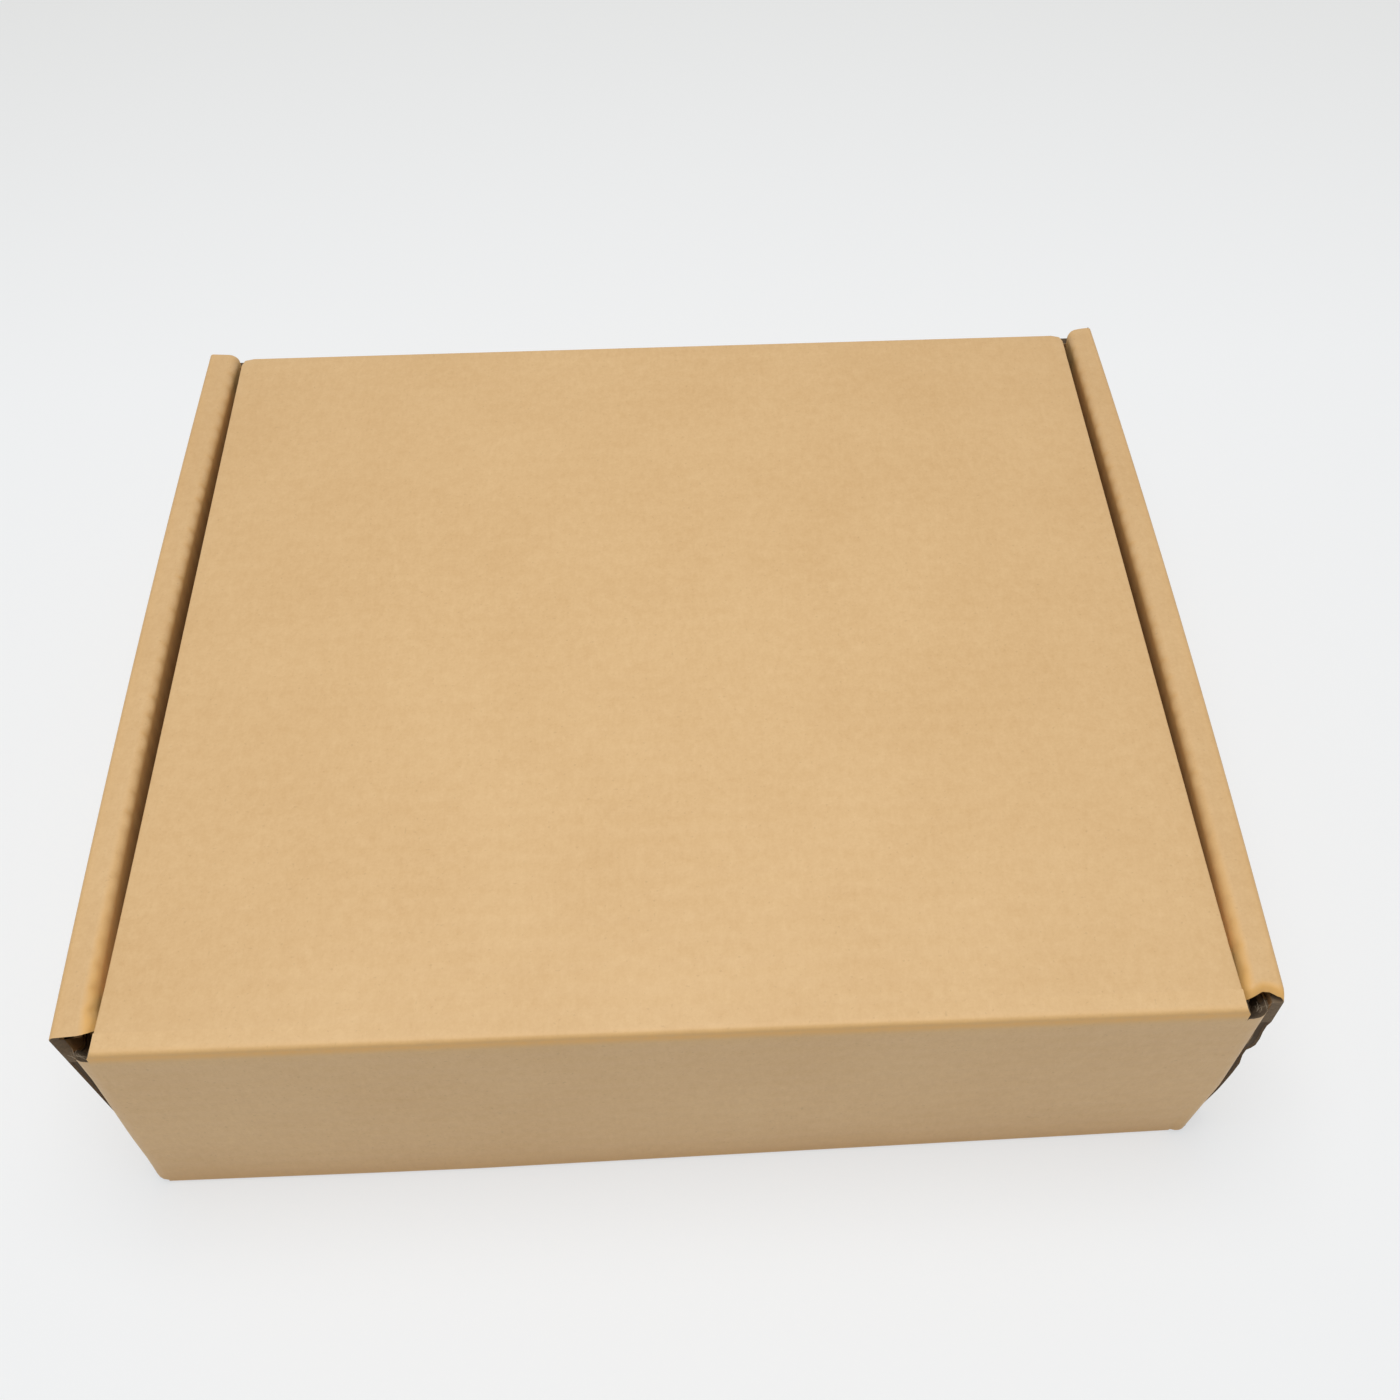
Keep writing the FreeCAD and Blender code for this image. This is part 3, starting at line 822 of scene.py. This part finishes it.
def make_tray():
    across, along = tray_lines()
    piece = cut_blank("tray_board", across, along, tray_panels())
    cut_slots(piece)
    sheet = fold_tray(*sheet_places(piece))
    bow_rolls(sheet)
    press_flutes(sheet)
    shape_roll_ends(sheet)
    set_end_walls(sheet)
    mark_tray_tints(piece, sheet)
    write_points(piece, np.stack([sheet.side * sheet.x, sheet.y, sheet.z], axis=1))
    finish_board(piece)
    start_editing(piece)
    bpy.ops.mesh.select_all(action="SELECT")
    bpy.ops.mesh.flip_normals()
    stop_editing()
    give_thickness(piece, board)
    mark_depth(piece)
    crush_inner_liner(piece, sheet)
    round_roll_edges(piece)
    open_raw_edges(piece, crushed_closed)
    places = read_points(piece)
    places[:, 2] = np.minimum(places[:, 2], top)
    write_points(piece, places)
    shade(piece)
    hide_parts("tray")
    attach(piece, "tray")
    return piece


# Lid: top panel, two ears and the tuck flap, sharply folded

ear_tilt = math.radians(0.5)
ear_reach = 42.0 * mm
ear_low = 12.0 * mm
ear_corner = 16.0 * mm
flap_tilt = math.radians(6)
flap_reach = 40.0 * mm
flap_inset = 3.5 * mm
flap_corner = 14.0 * mm
lid_start = hinge.y + crease_stub
lid_length = lid_far_left - lid_start
ear_high = lid_length - ear_low
flap_half = lid_half - flap_inset
flare_reach = 15.0 * mm
lid_edge_radius = 0.5 * mm
lid_corner_cut = 0.8 * mm

ear_runs = [(lid_half, 0), (0, quarter + ear_tilt), (ear_reach, 0)]
flap_runs = [(lid_length, 0), (0, quarter + flap_tilt), (flap_reach, 0)]


def rounded_reach(from_corner, radius):
    """How much of a panel's reach is lost near its rounded corner."""
    into = np.clip(radius - from_corner, 0, radius)
    return radius - np.sqrt(np.maximum(radius ** 2 - into ** 2, 0))


def lid_blank():
    side = [0.0, *spread(0, flap_half - flap_corner, 8)]
    side += [*spread(flap_half - flap_corner, flap_half, 8), lid_half]
    side += spread(lid_half, lid_half + ear_reach, 8)
    edges = [flap_half, lid_half, lid_half + ear_reach]
    across = tidy_lines([-line for line in edges] + edges, [-line for line in side] + side)
    along = [0.0, *spread(0, ear_low, 4), *spread(ear_low, ear_low + ear_corner, 8)]
    along += spread(ear_low + ear_corner, ear_high - ear_corner, 50)
    along += spread(ear_high - ear_corner, ear_high, 8)
    along += spread(ear_high, lid_length, 4)
    along += spread(lid_length, lid_length + flap_reach, 8)
    panels = [(-lid_half, lid_half, 0, lid_length)]
    panels.append((-flap_half, flap_half, lid_length, lid_length + flap_reach))
    for way in (-1, 1):
        left, right = sorted((way * lid_half, way * (lid_half + ear_reach)))
        panels.append((left, right, ear_low, ear_high))
    edges = [0.0, ear_low, ear_high, lid_length, lid_length + flap_reach]
    return cut_blank("lid_board", across, tidy_lines(edges, along), panels)


def fold_lid(u, v):
    """Folds the ears and the flap down, and returns each point's place and how far out it lies."""
    way = np.where(u < 0, -1.0, 1.0)
    out = np.abs(u)
    ear = out > lid_half + speck
    flap = v > lid_length + speck

    # Rounded corners of the ears and of the flap
    from_end = np.minimum(v - ear_low, ear_high - v)
    lost = rounded_reach(from_end, ear_corner)
    out = np.where(ear, lid_half + (out - lid_half) * (1 - lost / ear_reach), out)
    lost = rounded_reach(flap_half - out, flap_corner)
    along_flap = np.where(flap, lid_length + (v - lid_length) * (1 - lost / flap_reach), v)

    x_ear, down_ear = laid(out, ear_runs)
    y_flap, down_flap = laid(along_flap, flap_runs)
    x = way * x_ear
    x = x + way * lid_flare * np.exp(-v / flare_reach) * out / lid_half
    y = lid_start + np.where(flap, y_flap, v)
    z = top - np.where(ear, down_ear, np.where(flap, down_flap, 0))

    # The far edge runs slightly askew
    askew = np.interp(x, [-lid_half, lid_half], [0, lid_far_right - lid_far_left])
    y = y + askew * np.clip(v / lid_length, 0, 1) ** 2
    far_corner = (np.abs(out - lid_half) < speck) & (np.abs(v - lid_length) < speck)
    x = x - way * lid_corner_cut * far_corner
    y = y - lid_corner_cut * far_corner
    return np.stack([x, y, z], axis=1), out


def make_lid():
    piece = lid_blank()
    u, v = sheet_places(piece)
    places, out = fold_lid(u, v)
    beside_fold = out - lid_half
    # Ochre on the ears just below their folds, partly the crease's own colour and partly painted shade
    # down in the gap
    crease_and_gap_shade = np.clip(beside_fold / (2 * mm), 0, 1) * np.exp(-beside_fold / (6 * mm))
    mark(piece, "crease_and_shade", "FLOAT", crease_and_gap_shade)
    # Painted shade down in the gap, on the ears
    gap_shade = painted_gap_shade(out - lid_half) * np.clip(v / (40 * mm), 0.3, 1)
    # Painted shade: the lid's top darkens towards its far end and its sides, standing in for the fall-off
    # of light
    lid_falloff_shade = 0.05 * (v / lid_length) ** 1.5 + 0.05 * (out / lid_half) ** 2
    mark(piece, "painted_shade", "FLOAT", np.maximum(gap_shade, np.clip(lid_falloff_shade, 0, 0.1)))
    write_points(piece, places)
    finish_board(piece)
    give_thickness(piece, board)
    mark_depth(piece)

    # Soften the folds on the outside
    start_editing(piece)

    def outside_fold(edge):
        a, b = edge.verts[0].co, edge.verts[1].co
        if min(a.z, b.z) < top - 0.05 * mm or len(edge.link_faces) != 2:
            return False
        if max(a.y, b.y) < lid_start + 0.1 * mm:
            return False
        return edge.calc_face_angle(0) > sharp_fold

    select_edges(piece, outside_fold)
    bpy.ops.mesh.bevel(offset=lid_edge_radius, segments=3, affect="EDGES", material=0)
    stop_editing()
    open_raw_edges(piece)
    shade(piece)
    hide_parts("lid")
    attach(piece, "lid")
    return piece


# Crease: the strip of board between the hinge wall and the lid

def make_crease():
    length = 2 * crease_stub + 2 * board
    fold_at = crease_stub + board
    along = [0.0, *spread(0, crease_stub, 5), fold_at - 2 * mm, fold_at, fold_at + 2 * mm]
    along += [length - crease_stub, length]
    half = lid_half + lid_flare
    across = [-half, *spread(-half, half, 260)]
    piece = cut_blank("crease", across, along, [(-half, half, 0, length)])
    u, v = sheet_places(piece)
    up, inward = laid(v, [(fold_at, 0), (0, quarter), (fold_at, 0)])
    x = u * (1 + crease_spread / half * np.clip((fold_at - v) / (2 * mm), 0, 1))
    y = hinge.y - board + inward
    z = hinge.z - crease_stub + up
    on_wall = np.clip((hinge.y - y) / board, 0, 1)
    y = y + crease_inset * on_wall
    mark(piece, "crease_and_shade", "FLOAT", fold_tint(fold_at - v))
    mark(piece, "painted_shade", "FLOAT", np.zeros(len(u)))
    write_points(piece, np.stack([x, y, z], axis=1))
    finish_board(piece)
    give_thickness(piece, board)
    mark_depth(piece)
    start_editing(piece)

    def outer_fold(edge):
        a, b = edge.verts[0].co, edge.verts[1].co
        on_wall_side = max(a.y, b.y) < hinge.y - board + crease_inset + 0.1 * mm
        return on_wall_side and min(a.z, b.z) > top - 0.1 * mm

    select_edges(piece, outer_fold)
    bpy.ops.mesh.bevel(offset=crease_radius, segments=4, affect="EDGES", material=0)
    stop_editing()

    # The fold wanders a little, by three waves of a rate, a start and a size each
    places = read_points(piece)
    from_fold = np.abs(places[:, 1] - hinge.y + board) + top - places[:, 2]
    near_fold = np.clip(1 - from_fold / (3 * mm), 0, 1)
    wander = sum(size * np.sin(places[:, 0] * rate + start) for rate, start, size in crease_waves)
    deepest = sum(size for rate, start, size in crease_waves)
    places[:, 2] -= crease_wander * near_fold * (wander + deepest)
    write_points(piece, places)
    shade(piece)
    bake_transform(piece)
    return piece


# Torn fibres of the liner, standing up at the two near corners

fibre_roots = {
    -1: (Vector((-137.6 * mm, -122.6 * mm, 73.6 * mm)), Vector((1.8 * mm, 0.5 * mm, 0.3 * mm))),
    1: (Vector((139.2 * mm, -121.9 * mm, 73.4 * mm)), Vector((1.6 * mm, 0.6 * mm, 0.4 * mm)))}
fibre_count = 11
fibre_width = 0.06 * mm
fibre_thickness = 0.05 * mm
fibre_length = 3.0 * mm


def make_fibre(root, lean_to, length, curl):
    """One strand of torn paper, tapering and curling to its tip."""
    deselect_all()
    bpy.ops.mesh.primitive_grid_add(x_subdivisions=2, y_subdivisions=6, size=2)
    strand = bpy.context.object
    places = read_points(strand)
    along = 0.5 + 0.5 * places[:, 1:2]
    across = places[:, 0:1] * fibre_width * (1 - 0.75 * along)
    turned = np.array([math.cos(curl), math.sin(curl), 0.0])
    path = np.array(root) + np.array(lean_to) * length * along + turned * 0.35 * length * along ** 2
    write_points(strand, path + across * np.array([-math.sin(curl), math.cos(curl), 0.2]))
    return strand


def make_torn_fibres():
    chance = np.random.default_rng(11)
    strands = []
    for way, (middle, scatter) in fibre_roots.items():
        for number in range(fibre_count):
            root = middle + Vector([scatter[axis] * chance.uniform(-1, 1) for axis in range(3)])
            lean_to = Vector((chance.uniform(-0.4, 0.4), chance.uniform(-0.1, 0.5), 1.0)).normalized()
            length = fibre_length * chance.uniform(0.4, 1.0)
            strands.append(make_fibre(root, lean_to, length, chance.uniform(0, 2 * math.pi)))
    deselect_all()
    for strand in strands:
        strand.select_set(True)
    bpy.context.view_layer.objects.active = strands[0]
    bpy.ops.object.join()
    piece = bpy.context.object
    piece.name = "torn_fibres"
    piece.data.materials.append(torn_paper)
    solid = piece.modifiers.new("thickness", "SOLIDIFY")
    solid.thickness = fibre_thickness
    apply_modifier(piece, solid)
    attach(piece, "tray")
    return piece


make_tray()
make_lid()
make_crease()
make_torn_fibres()


# Floor, light and camera

white = (1.0, 1.0, 1.0, 1.0)


def background_rays(tree):
    """1 for rays that show the background to the eye, straight, mirrored or through glass."""
    seen = add_node(tree, "ShaderNodeLightPath", output=0)
    mirrored = add_node(tree, "ShaderNodeLightPath", output=3)
    through = add_node(tree, "ShaderNodeLightPath", output=6)
    return seen + mirrored + through


def make_floor():
    deselect_all()
    bpy.ops.mesh.primitive_plane_add(size=8)
    floor = bpy.context.object
    floor.name = "floor"
    material, tree, shader = new_material("pale floor")
    shader.inputs["Base Color"].default_value = plain_colour(238, 240, 242)
    shader.inputs["Roughness"].default_value = 0.7
    shader.inputs["Specular IOR Level"].default_value = 0.1
    place = add_node(tree, "ShaderNodeTexCoord", output=3)
    behind = add_node(tree, "ShaderNodeSeparateXYZ", output=1, Vector=place)
    # Painted fall-off of light: the backdrop seen by the camera darkens towards the back
    painted_falloff = add_node(tree, "ShaderNodeMapRange", i0=behind, i1=0.2, i2=0.6, i3=0.0, i4=1.0)
    backdrop = mix_colour(tree, painted_falloff, (0.965, 0.975, 0.98, 1.0), (0.84, 0.84, 0.82, 1.0))
    paper_white = add_node(tree, "ShaderNodeEmission", Color=backdrop)
    share = background_rays(tree) * 0.6
    lit = Value(tree, shader.outputs[0])
    blended = add_node(tree, "ShaderNodeMixShader", i0=share, i1=lit, i2=paper_white)
    tree.links.new(blended.socket, tree.nodes["Material Output"].inputs["Surface"])
    floor.data.materials.append(material)


def make_light():
    world = bpy.data.worlds.new("studio")
    bpy.context.scene.world = world
    world.use_nodes = True
    tree = world.node_tree
    fill = tree.nodes["Background"]
    fill.inputs["Color"].default_value = white
    fill.inputs["Strength"].default_value = 0.42
    lit = Value(tree, fill.outputs[0])
    backdrop = add_node(tree, "ShaderNodeBackground", Color=white, Strength=0.8)
    blended = add_node(tree, "ShaderNodeMixShader", i0=background_rays(tree), i1=lit, i2=backdrop)
    tree.links.new(blended.socket, tree.nodes["World Output"].inputs["Surface"])

    lamp = bpy.data.lights.new("soft box", "AREA")
    lamp.shape = "SQUARE"
    lamp.size = 0.6
    lamp.energy = 5.2
    soft_box = bpy.data.objects.new("soft box", lamp)
    soft_box.location = (-0.02, -0.05, 1.0)
    aim = Vector((0, 0, 0)) - Vector(soft_box.location)
    soft_box.rotation_euler = aim.to_track_quat("-Z", "Y").to_euler()
    bpy.context.scene.collection.objects.link(soft_box)


def make_camera():
    view = bpy.data.cameras.new("camera")
    view.sensor_fit = "HORIZONTAL"
    view.sensor_width = 36.0
    view.lens = 40.392
    camera = bpy.data.objects.new("camera", view)
    camera_place = Vector((5.6 * mm, hinge.y - 165.7 * mm, 411.4 * mm))
    heading = math.radians(1.02)
    down = math.radians(52.0)
    roll = math.radians(-1.29)
    turn = Matrix.Rotation(-heading, 4, "Z") @ Matrix.Rotation(quarter - down, 4, "X")
    turn = turn @ Matrix.Rotation(roll, 4, "Z")
    camera.matrix_world = Matrix.Translation(camera_place) @ turn
    bpy.context.scene.collection.objects.link(camera)
    bpy.context.scene.camera = camera


make_floor()
make_light()
make_camera()
bpy.context.scene.view_settings.view_transform = "Standard"
